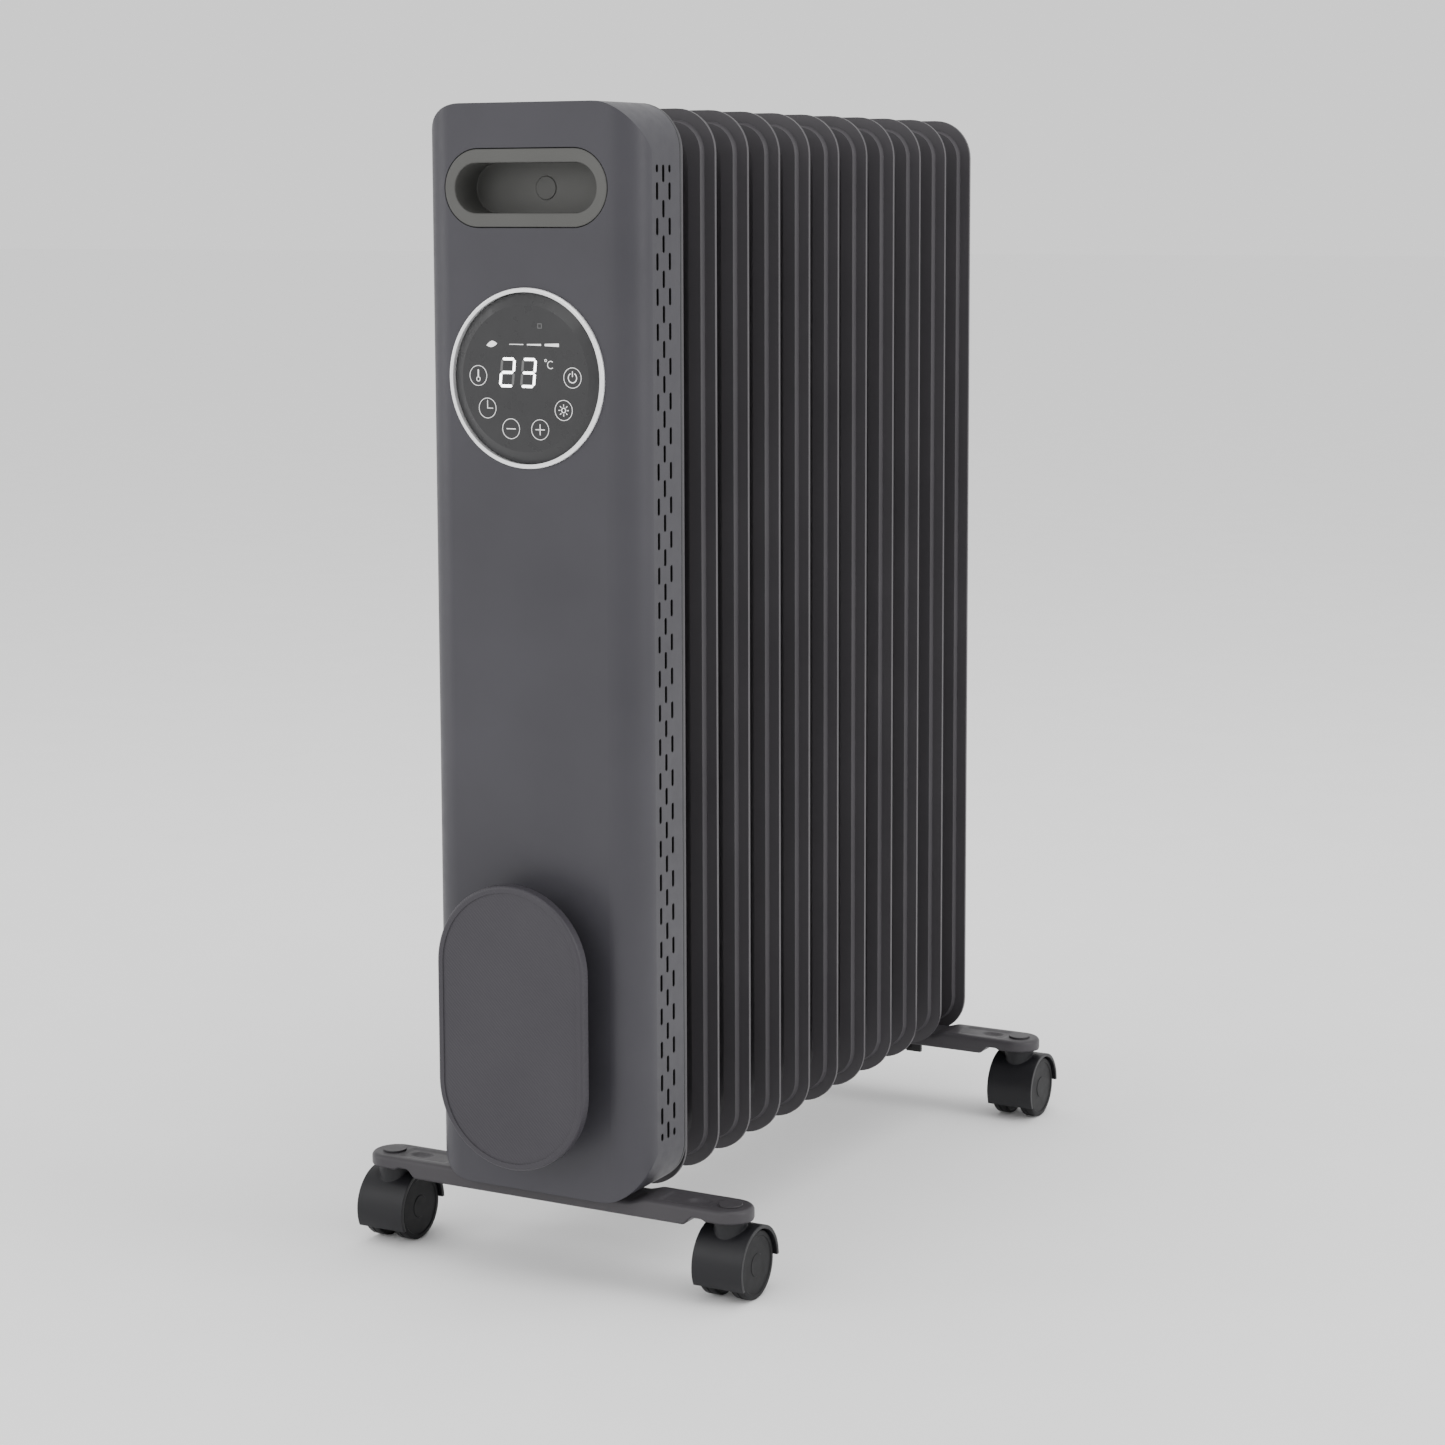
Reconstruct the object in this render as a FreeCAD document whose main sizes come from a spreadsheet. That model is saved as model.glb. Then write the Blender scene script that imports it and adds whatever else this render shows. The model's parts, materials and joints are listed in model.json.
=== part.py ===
import FreeCAD, Part
import math
import os
import Sketcher
from FreeCAD import Placement, Rotation, Vector

# Oil filled radiator heater on four twin-wheel swivel casters.
# Millimetres. X runs to the right of someone facing the control panel, Y runs back, Z is up.
# The origin is on the floor, at the centre of the bounding box's underside.

DIMENSIONS = [
    # overall
    ("depth_total", 462.5),
    ("plate_standoff", 24.5),
    # fins
    ("fin_pitch", 36.75),
    ("fin_first_back", 58.1),
    ("fin_width", 120),
    ("fin_height", 580),
    ("fin_bottom", 42.7),
    ("fin_corner", 23.5),
    ("fin_rim", 2),
    ("fin_sheet", 0.8),
    ("bead_inset", 5.8),
    ("bead_depth", 8),
    ("bead_draft", 20),
    ("valley_inset", 20.9),
    ("valley_corner", 8),
    ("valley_draft", 58),
    ("channel_inset", 20.5),
    ("channel_corner", 12),
    ("channel_depth", 13),
    ("channel_draft", 55),
    ("cavity_inset", 31),
    ("cavity_corner", 4),
    # header passages
    ("header_inset", 56),
    ("collar_radius", 23),
    ("header_bore", 17),
    ("header_cap_depth", 5.9),
    # heating element
    ("gasket_depth", 1.5),
    ("flange_depth", 5),
    ("flange_radius", 27),
    ("tube_radius", 4),
    ("tube_out", 8.5),
    ("element_length", 325),
    ("terminal_length", 12),
    ("plug_radius", 15),
    # control housing
    ("housing_width", 130),
    ("housing_height", 576),
    ("housing_bottom", 48.4),
    ("housing_depth", 46.8),
    ("housing_corner", 25),
    ("housing_round", 18),
    ("wall", 2.5),
    ("seam", 0.4),
    ("rear_panel_depth", 1.8),
    ("post_radius", 4),
    ("screw_radius", 1.6),
    ("screw_length", 14),
    # side vents
    ("vent_length", 9),
    ("vent_half_length", 4),
    ("vent_width", 2.4),
    ("vent_pitch", 18),
    ("vent_column_gap", 6.5),
    ("vent_middle_back", 29.5),
    ("vent_top", 587.8),
    # grip and power button
    ("grip_centre", 580.7),
    ("grip_width", 97.5),
    ("grip_height", 40),
    ("grip_gap", 0.5),
    ("grip_flange", 4),
    ("recess_width", 85.6),
    ("recess_height", 26),
    ("recess_depth", 21),
    ("grip_wall", 2),
    ("button_radius", 6),
    ("button_length", 9),
    ("button_proud", 0.4),
    ("button_clearance", 0.08),
    ("button_travel", 2.5),
    # display
    ("display_centre", 482.8),
    ("ring_outer", 47),
    ("ring_inner", 44.6),
    ("ring_proud", 1.6),
    ("ring_depth", 3.5),
    ("lens_radius", 44.3),
    ("lens_face", 38.2),
    ("lens_proud", 1.8),
    ("lens_edge", 0.9),
    ("module_depth", 4),
    # electrics
    ("board_gap", 12),
    ("board_bottom", 270),
    ("board_width", 90),
    ("board_height", 130),
    ("board_depth", 1.6),
    ("lead_radius", 2),
    ("lead_bend", 10),
    # cord storage
    ("plate_centre", 143.1),
    ("plate_width", 89.4),
    ("plate_height", 152.4),
    ("plate_depth", 6),
    ("plate_rim", 3.6),
    ("plate_inlay", 0.5),
    ("hub_width", 44),
    ("hub_height", 106),
    ("hub_wall", 3),
    ("hub_screw_out", 30),
    ("gland_radius", 6),
    ("gland_bore", 3.6),
    ("gland_drop", 64),
    # feet
    ("bar_length", 237),
    ("bar_width", 27),
    ("bar_underside", 40.3),
    ("bar_top", 50.5),
    ("bar_seat", 48.2),
    ("bar_seat_half", 66),
    ("boss_underside", 43.6),
    ("arch_underside", 44.8),
    ("arch_start", 84),
    ("arch_end", 95),
    ("bar_front_back", 23),
    ("saddle_width", 40),
    ("saddle_depth", 16),
    ("u_bolt_radius", 2.5),
    ("u_bolt_out", 26),
    ("u_bolt_low", 33),
    ("stem_out", 106),
    ("cap_radius", 6.5),
    # casters
    ("wheel_radius", 18.5),
    ("wheel_width", 8.4),
    ("wheel_middle", 9),
    ("wheel_bore", 2.05),
    ("axle_radius", 2),
    ("axle_half", 12),
    ("trail", 5),
    ("hood_radius", 21.4),
    ("hood_inside", 19.4),
    ("hood_half", 14.8),
    ("hood_web", 4.2),
    ("hood_hub", 9),
    ("hood_low", 9.2),
    ("hood_lip", 18.8),
    ("neck_radius", 9),
    ("neck_gap", 0.4),
    ("stem_radius", 3),
    ("stem_foot", 28),
]
FIN_COUNT = 11
VENT_ROWS = 29

# edge radii, read by the rounding features
RING_ROUND = 0.9
PLATE_ROUND = 1.6
BAR_ROUND = 2.2
WHEEL_ROUND = 1.2
BUTTON_ROUND = 0.3
CAP_ROUND = 4.0

doc = FreeCAD.newDocument("oil_filled_radiator")
sheet = doc.addObject("Spreadsheet::Sheet", "dims")
for row, (alias, number) in enumerate(DIMENSIONS, start=1):
    sheet.set("A%d" % row, alias)
    sheet.set("B%d" % row, str(number))
    sheet.setAlias("B%d" % row, alias)
doc.recompute()


class Size:
    """A length that carries its expression over the sheet and its present value."""

    def __init__(self, text, value):
        self.text = text
        self.value = value

    def combine(self, sign, other, value, swapped=False):
        other_text = other.text if isinstance(other, Size) else "%.6g" % other
        left, right = (other_text, self.text) if swapped else (self.text, other_text)
        return Size("(%s %s %s)" % (left, sign, right), value)

    def __add__(self, other):
        return self.combine("+", other, self.value + number_of(other))

    def __radd__(self, other):
        return self.combine("+", other, self.value + number_of(other), swapped=True)

    def __sub__(self, other):
        return self.combine("-", other, self.value - number_of(other))

    def __rsub__(self, other):
        return self.combine("-", other, number_of(other) - self.value, swapped=True)

    def __mul__(self, other):
        return self.combine("*", other, self.value * number_of(other))

    def __rmul__(self, other):
        return self.combine("*", other, self.value * number_of(other), swapped=True)

    def __truediv__(self, other):
        return self.combine("/", other, self.value / number_of(other))

    def __neg__(self):
        return self * -1


def number_of(size):
    return size.value if isinstance(size, Size) else float(size)


def text_of(size):
    return size.text if isinstance(size, Size) else "%.6g" % size


class Dimensions:
    """The sheet's cells, one attribute each."""


D = Dimensions()
for alias, number in DIMENSIONS:
    setattr(D, alias, Size("dims." + alias, float(number)))

SUBPARTS = []

# the main stations along Y and Z
PLATE_FRONT = -D.depth_total / 2
FRONT = PLATE_FRONT + D.plate_standoff
PANEL_FRONT = FRONT + D.housing_depth + D.seam
FIRST_FIN = FRONT + D.fin_first_back
FIRST_FACE = FIRST_FIN - D.channel_depth / 2
LAST_FACE = FIRST_FIN + (FIN_COUNT - 1) * D.fin_pitch + D.channel_depth / 2
HOUSING_MIDDLE = D.housing_bottom + D.housing_height / 2
RECESS_BACK = FRONT + D.recess_depth
HEADER_Z = {
    "bottom": D.fin_bottom + D.header_inset,
    "top": D.fin_bottom + D.fin_height - D.header_inset,
}
BAR_Y = {
    "front": FRONT + D.bar_front_back,
    "rear": FIRST_FIN + (FIN_COUNT - 1.5) * D.fin_pitch,
}
THROUGH = 400.0     # longer than any wall a drilling has to pass


# ---- helpers ------------------------------------------------------------------------------------

def keep(item, node):
    """Names a finished sub-part; its label becomes its file's name."""
    item.Label = node
    SUBPARTS.append(item)
    return item


def bind(item, name, size):
    item.setExpression(name, text_of(size))


def place(item, x, y, z):
    for axis, size in zip("xyz", (x, y, z)):
        bind(item, "Placement.Base." + axis, size)
    return item


def origin_feature(body, role):
    return [feature for feature in body.Origin.OriginFeatures if feature.Role == role][0]


def new_body(name):
    return doc.addObject("PartDesign::Body", name)


def new_sketch(body, role):
    sketch = body.newObject("Sketcher::SketchObject", body.Name + "_sketch")
    sketch.AttachmentSupport = [(origin_feature(body, role), "")]
    sketch.MapMode = "FlatFace"
    return sketch


def constrain(sketch, kind, items, size):
    """Adds one dimension to a sketch and binds it to the sheet."""
    index = sketch.addConstraint(Sketcher.Constraint(kind, *items, number_of(size)))
    bind(sketch, "Constraints[%d]" % index, size)


def rounded_rectangle(sketch, width, height, radius):
    """A closed rounded rectangle centred on the sketch's origin."""
    corner = number_of(radius)
    half_x = number_of(width) / 2
    half_y = number_of(height) / 2
    flat_x = half_x - corner
    flat_y = half_y - corner
    sides = [
        ((-flat_x, -half_y), (flat_x, -half_y)),
        ((half_x, -flat_y), (half_x, flat_y)),
        ((flat_x, half_y), (-flat_x, half_y)),
        ((-half_x, flat_y), (-half_x, -flat_y)),
    ]
    centres = [(flat_x, -flat_y), (flat_x, flat_y), (-flat_x, flat_y), (-flat_x, -flat_y)]
    for (start, end), centre, turn in zip(sides, centres, (270, 0, 90, 180)):
        sketch.addGeometry(Part.LineSegment(Vector(*start, 0), Vector(*end, 0)), False)
        circle = Part.Circle(Vector(*centre, 0), Vector(0, 0, 1), corner)
        sketch.addGeometry(Part.ArcOfCircle(circle, math.radians(turn), math.radians(turn + 90)), False)
    for step in range(8):
        sketch.addConstraint(Sketcher.Constraint("Tangent", step, 2, (step + 1) % 8, 1))
    for side, kind in ((0, "Horizontal"), (2, "Vertical"), (4, "Horizontal"), (6, "Vertical")):
        sketch.addConstraint(Sketcher.Constraint(kind, side))
    for other in (3, 5, 7):
        sketch.addConstraint(Sketcher.Constraint("Equal", 1, other))
    sketch.addConstraint(Sketcher.Constraint("Symmetric", 1, 3, 5, 3, -1, 1))
    constrain(sketch, "Radius", (1,), radius)
    constrain(sketch, "DistanceX", (0, 1, 0, 2), width - 2 * radius)
    constrain(sketch, "DistanceY", (2, 1, 2, 2), height - 2 * radius)


def extrude(kind, body, sketch, length, draft=None, both_ways=True):
    """A pad or pocket on both sides of its sketch, or on the +Y or +Z side only."""
    feature = body.newObject("PartDesign::" + kind, body.Name + "_" + kind.lower())
    feature.Profile = sketch
    if both_ways:
        feature.SideType = "Symmetric"
    else:
        support = sketch.AttachmentSupport[0][0]
        feature.Reversed = support.Role == "XZ_Plane"
    bind(feature, "Length", length)
    if draft is not None:
        bind(feature, "TaperAngle", draft)
    return feature


AXES = {
    "x": Rotation(Vector(0, 1, 0), 90),
    "y": Rotation(Vector(1, 0, 0), -90),
    "z": Rotation(),
}


def cylinder(name, radius, length, axis, x, y, z):
    """A cylinder that starts at (x, y, z) and runs along the positive axis."""
    solid = doc.addObject("Part::Cylinder", name)
    solid.Placement = Placement(Vector(), AXES[axis])
    bind(solid, "Radius", radius)
    bind(solid, "Height", length)
    return place(solid, x, y, z)


def drilling(name, radius, axis, x, y, z):
    """A long cylinder centred on a point, for cutting a hole right through."""
    start = {"x": x, "y": y, "z": z}
    start[axis] = start[axis] - THROUGH / 2
    return cylinder(name, radius, THROUGH, axis, start["x"], start["y"], start["z"])


def box(name, width, depth, height, x, y, z):
    """A box centred across x, that starts at y and z."""
    solid = doc.addObject("Part::Box", name)
    for side, size in (("Length", width), ("Width", depth), ("Height", height)):
        bind(solid, side, size)
    return place(solid, x - width / 2, y, z)


def half_ring(name, ring_radius, tube_radius, rotation, x, y, z):
    ring = doc.addObject("Part::Torus", name)
    ring.Placement = Placement(Vector(), rotation)
    ring.Angle3 = 180
    bind(ring, "Radius1", ring_radius)
    bind(ring, "Radius2", tube_radius)
    return place(ring, x, y, z)


def fuse(name, shapes):
    joined = doc.addObject("Part::MultiFuse", name)
    joined.Shapes = shapes
    joined.Refine = True
    return joined


def common(name, shapes):
    shared = doc.addObject("Part::MultiCommon", name)
    shared.Shapes = shapes
    return shared


def cut(name, base, tool):
    result = doc.addObject("Part::Cut", name)
    result.Base = base
    result.Tool = tool
    return result


def group(name, shapes):
    """Separate solids that share one node."""
    compound = doc.addObject("Part::Compound", name)
    compound.Links = shapes
    return compound


def rounded(name, base, radius, test):
    """Rounds the edges of a finished solid whose middle point passes a test."""
    doc.recompute()
    edges = []
    for index, edge in enumerate(base.Shape.Edges, start=1):
        middle = edge.valueAt((edge.FirstParameter + edge.LastParameter) / 2)
        if test(edge, middle):
            edges.append((index, radius, radius))
    result = doc.addObject("Part::Fillet", name)
    result.Base = base
    result.Edges = edges
    return result


def prism(name, width, height, radius, depth, y, z):
    """A rounded-rectangle prism that starts at y and runs back, centred on x = 0 and height z."""
    body = new_body(name)
    sketch = new_sketch(body, "XZ_Plane")
    rounded_rectangle(sketch, width, height, radius)
    extrude("Pad", body, sketch, depth, both_ways=False)
    return place(body, 0, y, z)


def stadium(name, width, height, depth, y, z):
    """A prism with half-round ends; a hair under the full half height keeps its straight sides."""
    shorter = width if width.value < height.value else height
    return prism(name, width, height, shorter / 2 - 0.01, depth, y, z)


# ---- fins and header passages -------------------------------------------------------------------

def fin_sketch(body, inset, corner):
    sketch = new_sketch(body, "XZ_Plane")
    rounded_rectangle(sketch, D.fin_width - 2 * inset, D.fin_height - 2 * inset, corner)
    return sketch


def make_fin(index):
    """Two pressed steel sheets seamed at the rim, with a stiffening bead and a hollow oil channel."""
    body = new_body("fin_body_%02d" % (index + 1))
    outline = fin_sketch(body, D.bead_inset * 0, D.fin_corner)
    extrude("Pad", body, outline, D.fin_rim)
    bead = fin_sketch(body, D.bead_inset, D.fin_corner - D.bead_inset)
    extrude("Pad", body, bead, D.bead_depth, draft=-D.bead_draft)
    valley = fin_sketch(body, D.valley_inset, D.valley_corner)
    extrude("Pocket", body, valley, D.bead_depth + 1, draft=D.valley_draft)
    floor = fin_sketch(body, D.bead_inset, D.fin_corner - D.bead_inset)
    extrude("Pad", body, floor, D.fin_rim)
    channel = fin_sketch(body, D.channel_inset, D.channel_corner)
    extrude("Pad", body, channel, D.channel_depth, draft=-D.channel_draft)
    cavity = fin_sketch(body, D.cavity_inset, D.cavity_corner)
    extrude("Pocket", body, cavity, D.channel_depth - 2 * D.fin_sheet)
    place(body, 0, FIRST_FIN + index * D.fin_pitch, D.fin_bottom + D.fin_height / 2)
    bores = []
    for side, height in HEADER_Z.items():
        start = FIRST_FACE + index * D.fin_pitch - 5
        bores.append(cylinder("%s_bore_%s" % (body.Name, side), D.header_bore, D.channel_depth + 10, "y",
                              0, start, height))
    keep(cut(body.Name + "_bored", body, fuse(body.Name + "_bores", bores)), "fin_%02d" % (index + 1))


def make_header_collars(side):
    """Short tubes that join the oil channels of neighbouring fins."""
    gap = D.fin_pitch - D.channel_depth
    collars = []
    for index in range(FIN_COUNT - 1):
        name = "collar_%s_%02d" % (side, index + 1)
        start = FIRST_FIN + index * D.fin_pitch + D.channel_depth / 2
        outside = cylinder(name + "_outside", D.collar_radius, gap, "y", 0, start, HEADER_Z[side])
        bore = cylinder(name + "_bore", D.header_bore, gap, "y", 0, start, HEADER_Z[side])
        collars.append(cut(name, outside, bore))
    keep(group("collars_" + side, collars), "header_collars_" + side)


def make_rear_caps():
    """Dished ends that close the last fin's header passages."""
    caps = []
    for side, height in HEADER_Z.items():
        disc = cylinder("rear_cap_" + side, D.collar_radius, D.header_cap_depth, "y", 0, LAST_FACE, height)
        caps.append(rounded("rear_dome_" + side, disc, CAP_ROUND,
                            lambda edge, middle: edge.Length > 100 and middle.y > LAST_FACE.value + 1))
    keep(group("rear_caps", caps), "rear_header_caps")


# ---- heating element, behind the control housing ------------------------------------------------

FLANGE_FRONT = FIRST_FACE - D.gasket_depth - D.flange_depth
BOLT_CIRCLE = 21.0
BOLT_COUNT = 4


def make_element():
    """A hairpin of sheathed tube in the bottom header, on a bolted flange with a gasket."""
    height = HEADER_Z["bottom"]
    legs = []
    holes = []
    for side, sign in (("left", -1), ("right", 1)):
        x = sign * D.tube_out
        legs.append(cylinder("element_leg_" + side, D.tube_radius, D.element_length + D.terminal_length, "y",
                             x, FLANGE_FRONT - D.terminal_length, height))
        holes.append(drilling("flange_hole_" + side, D.tube_radius, "y", x, FLANGE_FRONT, height))
    bend = half_ring("element_bend", D.tube_out, D.tube_radius, Rotation(), 0,
                     FLANGE_FRONT + D.element_length, height)
    keep(fuse("element", legs + [bend]), "heating_element")

    both_holes = fuse("flange_holes", holes)
    for node, depth, start in (("element_flange", D.flange_depth, FLANGE_FRONT),
                               ("flange_gasket", D.gasket_depth, FLANGE_FRONT + D.flange_depth)):
        disc = cylinder(node + "_disc", D.flange_radius, depth, "y", 0, start, height)
        keep(cut(node + "_drilled", disc, both_holes), node)

    heads = []
    for turn in range(BOLT_COUNT):
        angle = 2 * math.pi * (turn + 0.5) / BOLT_COUNT
        heads.append(cylinder("flange_bolt_%d" % (turn + 1), 4, 3.5, "y", BOLT_CIRCLE * math.cos(angle),
                              FLANGE_FRONT - 3.5, height + BOLT_CIRCLE * math.sin(angle)))
    keep(group("bolts", heads), "flange_bolts")

    plate = cylinder("fill_plug_plate", D.plug_radius, 4, "y", 0, FIRST_FACE - 4, HEADER_Z["top"])
    spigot = cylinder("fill_plug_spigot", D.header_bore - 3, 8, "y", 0, FIRST_FACE - 4, HEADER_Z["top"])
    head = cylinder("fill_plug_head", 8, 4, "y", 0, FIRST_FACE - 8, HEADER_Z["top"])
    flare = cylinder("fill_plug_flare", D.header_bore + 3, 2, "y", 0, FIRST_FACE - 2, HEADER_Z["top"])
    keep(fuse("plug", [plate, spigot, head, flare]), "fill_plug")


# ---- control housing ----------------------------------------------------------------------------

POSTS = [(x, z) for x in (-50.0, 50.0) for z in (62.0, 335.0, 612.0)]
GLAND_Z = D.plate_centre - D.gland_drop


def housing_solid(name, inset):
    """The housing's outline shrunk by inset: rounded in front view and along its front uprights."""
    width = D.housing_width - 2 * inset
    front_view = prism(name + "_front_view", width, D.housing_height - 2 * inset, D.housing_corner - inset,
                       D.housing_depth, FRONT + inset, HOUSING_MIDDLE)
    plan = new_body(name + "_plan")
    sketch = new_sketch(plan, "XY_Plane")
    rounded_rectangle(sketch, width, 4 * D.housing_depth, D.housing_round - inset)
    extrude("Pad", plan, sketch, D.housing_height + 20)
    place(plan, 0, FRONT + inset + 2 * D.housing_depth, HOUSING_MIDDLE)
    return common(name, [front_view, plan])


def vent_column(name, back, top, rows, length):
    """One upright row of slots that goes through both of the housing's sides."""
    body = new_body(name)
    sketch = new_sketch(body, "YZ_Plane")
    rounded_rectangle(sketch, D.vent_width, length, D.vent_width / 2 - 0.05)
    slot = extrude("Pad", body, sketch, D.housing_width + 20)
    if rows > 1:
        pattern = body.newObject("PartDesign::LinearPattern", name + "_rows")
        pattern.Originals = [slot]
        pattern.Direction = (origin_feature(body, "Z_Axis"), [""])
        pattern.Reversed = True
        pattern.Occurrences = rows
        bind(pattern, "Length", (rows - 1) * D.vent_pitch)
        body.Tip = pattern
    return place(body, 0, FRONT + back, top)


def make_vents():
    """Three staggered columns of slots; the outer two start and end with a half slot."""
    lowest = D.vent_top - (VENT_ROWS - 1) * D.vent_pitch
    half_shift = (D.vent_length - D.vent_half_length) / 2
    vents = [vent_column("vents_middle", D.vent_middle_back, D.vent_top, VENT_ROWS, D.vent_length)]
    for label, sign in (("front", -1), ("back", 1)):
        back = D.vent_middle_back + sign * D.vent_column_gap
        vents.append(vent_column("vents_" + label, back, D.vent_top - D.vent_pitch / 2, VENT_ROWS - 1,
                                 D.vent_length))
        vents.append(vent_column("vent_top_" + label, back, D.vent_top + half_shift, 1, D.vent_half_length))
        vents.append(vent_column("vent_low_" + label, back, lowest - half_shift, 1, D.vent_half_length))
    return vents


def make_front_cover():
    """The moulded housing: open at the back, with grip, display, cord and vent openings."""
    outside = housing_solid("cover_outside", D.wall * 0)
    inside = housing_solid("cover_inside", D.wall)
    openings = [
        stadium("grip_opening", D.grip_width + 2 * D.grip_gap, D.grip_height + 2 * D.grip_gap, 10 + D.wall,
                FRONT - 5, D.grip_centre),
        cylinder("display_opening", D.ring_outer, 20, "y", 0, FRONT - 10, D.display_centre),
        cylinder("gland_hole", D.gland_radius, 20, "y", 0, FRONT - 10, GLAND_Z),
    ]
    for side, sign in (("low", -1), ("high", 1)):
        openings.append(cylinder("hub_hole_" + side, D.screw_radius, 20, "y", 0, FRONT - 10,
                                 D.plate_centre + sign * D.hub_screw_out))
    for side, sign in (("left", -1), ("right", 1)):
        openings.append(cylinder("floor_hole_" + side, 2, 20, "z", sign * 38.0, BAR_Y["front"],
                                 D.housing_bottom - 10))
    shell = cut("cover_shell", outside, fuse("cover_hollow", [inside] + openings + make_vents()))
    posts = []
    holes = []
    for index, (x, z) in enumerate(POSTS):
        posts.append(cylinder("post_%d" % index, D.post_radius, D.housing_depth - D.wall + 1, "y", x,
                              FRONT + D.wall - 1, z))
        holes.append(cylinder("post_hole_%d" % index, D.screw_radius, D.screw_length, "y", x,
                              PANEL_FRONT - D.screw_length, z))
    solid = fuse("cover_with_posts", [shell] + posts)
    keep(cut("cover", solid, fuse("post_holes", holes)), "front_cover")


def make_rear_panel():
    """The steel panel that closes the housing and carries it on the first fin."""
    panel = prism("panel_plate", D.housing_width, D.housing_height, D.housing_corner, D.rear_panel_depth,
                  PANEL_FRONT, HOUSING_MIDDLE)
    holes = [
        drilling("panel_flange_hole", D.flange_radius + 2, "y", 0, PANEL_FRONT, HEADER_Z["bottom"]),
        drilling("panel_plug_hole", D.header_bore + 5, "y", 0, PANEL_FRONT, HEADER_Z["top"]),
    ]
    screws = []
    for index, (x, z) in enumerate(POSTS):
        head = cylinder("cover_screw_head_%d" % index, 3.4, 2, "y", x, PANEL_FRONT + D.rear_panel_depth, z)
        shank = cylinder("cover_screw_shank_%d" % index, D.screw_radius,
                         D.screw_length - 1 + D.rear_panel_depth, "y", x, PANEL_FRONT - D.screw_length + 1, z)
        screws.append(fuse("cover_screw_%d" % index, [head, shank]))
        holes.append(drilling("panel_screw_hole_%d" % index, D.screw_radius, "y", x, PANEL_FRONT, z))
    keep(cut("panel", panel, fuse("panel_holes", holes)), "rear_panel")
    keep(group("panel_screws", screws), "cover_screws")


# ---- grip recess and power button ---------------------------------------------------------------

def make_grip():
    """A moulded hand recess set into the housing, with a guide hole for the button."""
    flange = stadium("grip_face", D.grip_width, D.grip_height, D.grip_flange, FRONT, D.grip_centre)
    tub = stadium("grip_tub", D.recess_width + 2 * D.grip_wall, D.recess_height + 2 * D.grip_wall,
                  D.recess_depth + D.grip_wall, FRONT, D.grip_centre)
    recess = stadium("grip_recess", D.recess_width, D.recess_height, D.recess_depth + 5, FRONT - 5,
                     D.grip_centre)
    guide = drilling("button_guide", D.button_radius + D.button_clearance, "y", 0, RECESS_BACK, D.grip_centre)
    keep(cut("grip", fuse("grip_body", [flange, tub]), fuse("grip_cut", [recess, guide])), "grip_insert")

    button_front = RECESS_BACK - D.button_proud
    blank = cylinder("button_blank", D.button_radius, D.button_length, "y", 0, button_front, D.grip_centre)
    keep(rounded("button", blank, BUTTON_ROUND,
                 lambda edge, middle: edge.Length > 20 and middle.y < RECESS_BACK.value), "power_button")
    switch_front = button_front + D.button_length + D.button_travel + 0.4
    keep(box("switch", 16, 9, 14, 0, switch_front, D.grip_centre - 7), "power_switch")


# ---- display ------------------------------------------------------------------------------------

def make_display():
    """A bright ring round a raised lens, with the display board and its digits behind."""
    height = D.display_centre
    ring_front = FRONT - D.ring_proud
    band = cylinder("ring_band", D.ring_outer - 0.1, D.ring_proud + D.ring_depth, "y", 0, ring_front, height)
    softened = rounded("ring_softened", band, RING_ROUND,
                       lambda edge, middle: edge.Length > 200 and middle.y < FRONT.value)
    keep(cut("ring", softened, drilling("ring_hole", D.ring_inner, "y", 0, FRONT, height)), "display_ring")

    bevel = doc.addObject("Part::Cone", "lens_bevel")
    bevel.Placement = Placement(Vector(), AXES["y"])
    bind(bevel, "Radius1", D.lens_face)
    bind(bevel, "Radius2", D.lens_radius)
    bind(bevel, "Height", D.lens_proud + D.lens_edge)
    place(bevel, 0, FRONT - D.lens_proud, height)
    disc = cylinder("lens_disc", D.lens_radius, D.ring_depth - D.lens_edge, "y", 0, FRONT + D.lens_edge, height)
    keep(fuse("lens", [bevel, disc]), "display_lens")

    behind = FRONT + D.ring_depth
    keep(box("digits", 40, D.module_depth, 24, 0, behind, height - 8), "led_module")
    keep(cylinder("touch_board", 40, 1.6, "y", 0, behind + D.module_depth, height), "display_board")


# ---- electrics inside the housing ---------------------------------------------------------------

# on the power board: name, width, depth, height, x, height above the board's lower edge
BOARD_PARTS = [
    ("relay_left", 19.0, 16.0, 15.0, -26.0, 14.0),
    ("relay_right", 19.0, 16.0, 15.0, 2.0, 14.0),
    ("terminal_block", 32.0, 12.0, 12.0, 24.0, 44.0),
    ("transformer", 30.0, 22.0, 26.0, -20.0, 84.0),
    ("capacitor", 12.0, 20.0, 12.0, 26.0, 88.0),
]
BOARD_FRONT = PANEL_FRONT - D.board_gap


def make_electrics():
    """Power board, thermal cut-out, room sensor and tip-over switch."""
    pieces = [box("board_plate", D.board_width, D.board_depth, D.board_height, 0, BOARD_FRONT, D.board_bottom)]
    for name, width, depth, height, x, above in BOARD_PARTS:
        pieces.append(box(name, width, depth, height, x, BOARD_FRONT - depth, D.board_bottom + above))
    keep(group("board", pieces), "power_board")
    keep(cylinder("cutout", 8, 7, "y", -34, PANEL_FRONT - 7, 168), "thermal_cutout")
    keep(cylinder("sensor", 2.5, 24, "z", 42, FRONT + 12, 76), "temperature_sensor")
    keep(box("tip_switch", 26, 16, 26, -30.0, PANEL_FRONT - 16, 192), "tip_over_switch")


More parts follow.
